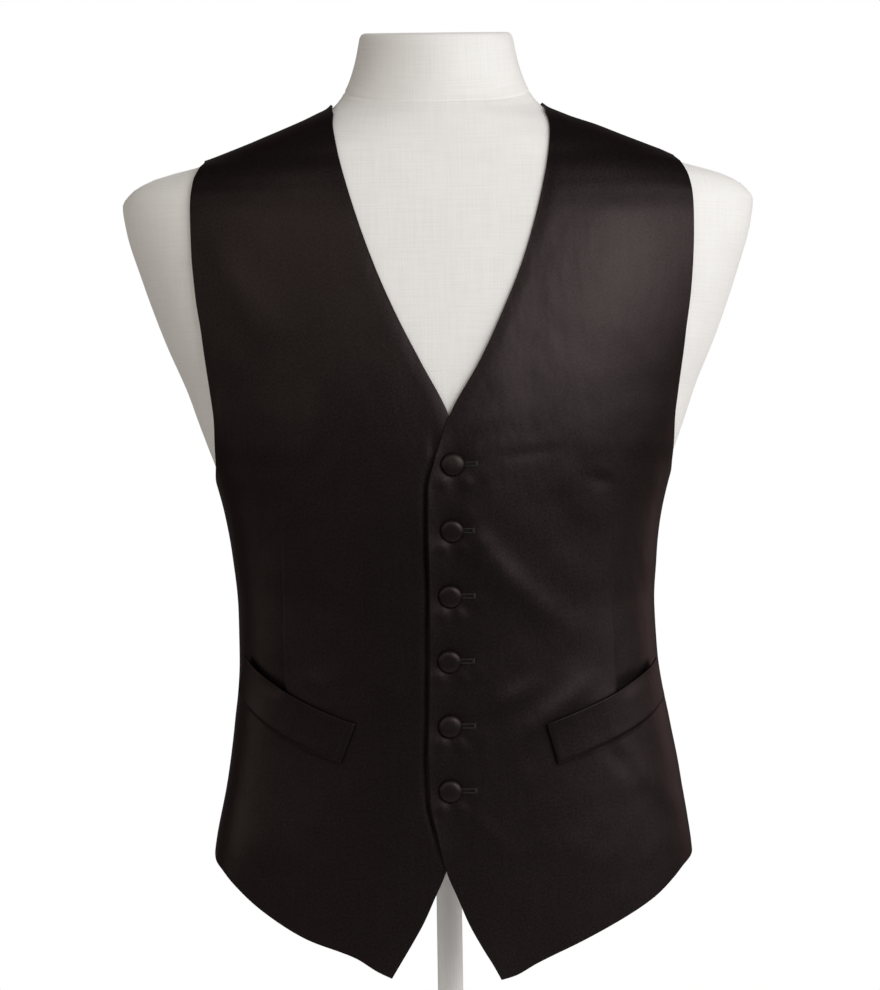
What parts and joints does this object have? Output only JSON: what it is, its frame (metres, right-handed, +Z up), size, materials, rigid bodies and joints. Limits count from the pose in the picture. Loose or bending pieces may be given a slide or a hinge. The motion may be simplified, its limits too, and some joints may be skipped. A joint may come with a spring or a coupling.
{
  "type": "suit waistcoat on a limbless dress form",
  "caption": "Buttoned satin suit waistcoat with a V neck, welt pockets and pointed fronts, worn by a linen-covered limbless dress form on a low stand.",
  "frame": {"origin": "on the floor, under the middle of the stand's round base", "axes": "+Z up, -Y the way the fronts face, +X towards the wearer's left"},
  "size_m": [0.4952, 0.3, 0.8515],
  "materials": {
    "satin": "dark brown-black satin, soft sheen",
    "covered_button": "the same satin stretched over a domed button",
    "linen": "natural linen, plain weave, matte",
    "white_steel": "white paint, satin"
  },
  "bodies": {
    "root": {"front_left": "satin", "front_right": "satin", "back_left": "satin", "back_right": "satin", "pocket_welt_left": "satin", "pocket_welt_right": "satin", "button_1": "covered_button", "button_2": "covered_button", "button_3": "covered_button", "button_4": "covered_button", "button_5": "covered_button", "button_6": "covered_button", "dress_form": "linen", "stand_pole": "white_steel", "stand_base": "white_steel"}
  },
  "joints": []
}
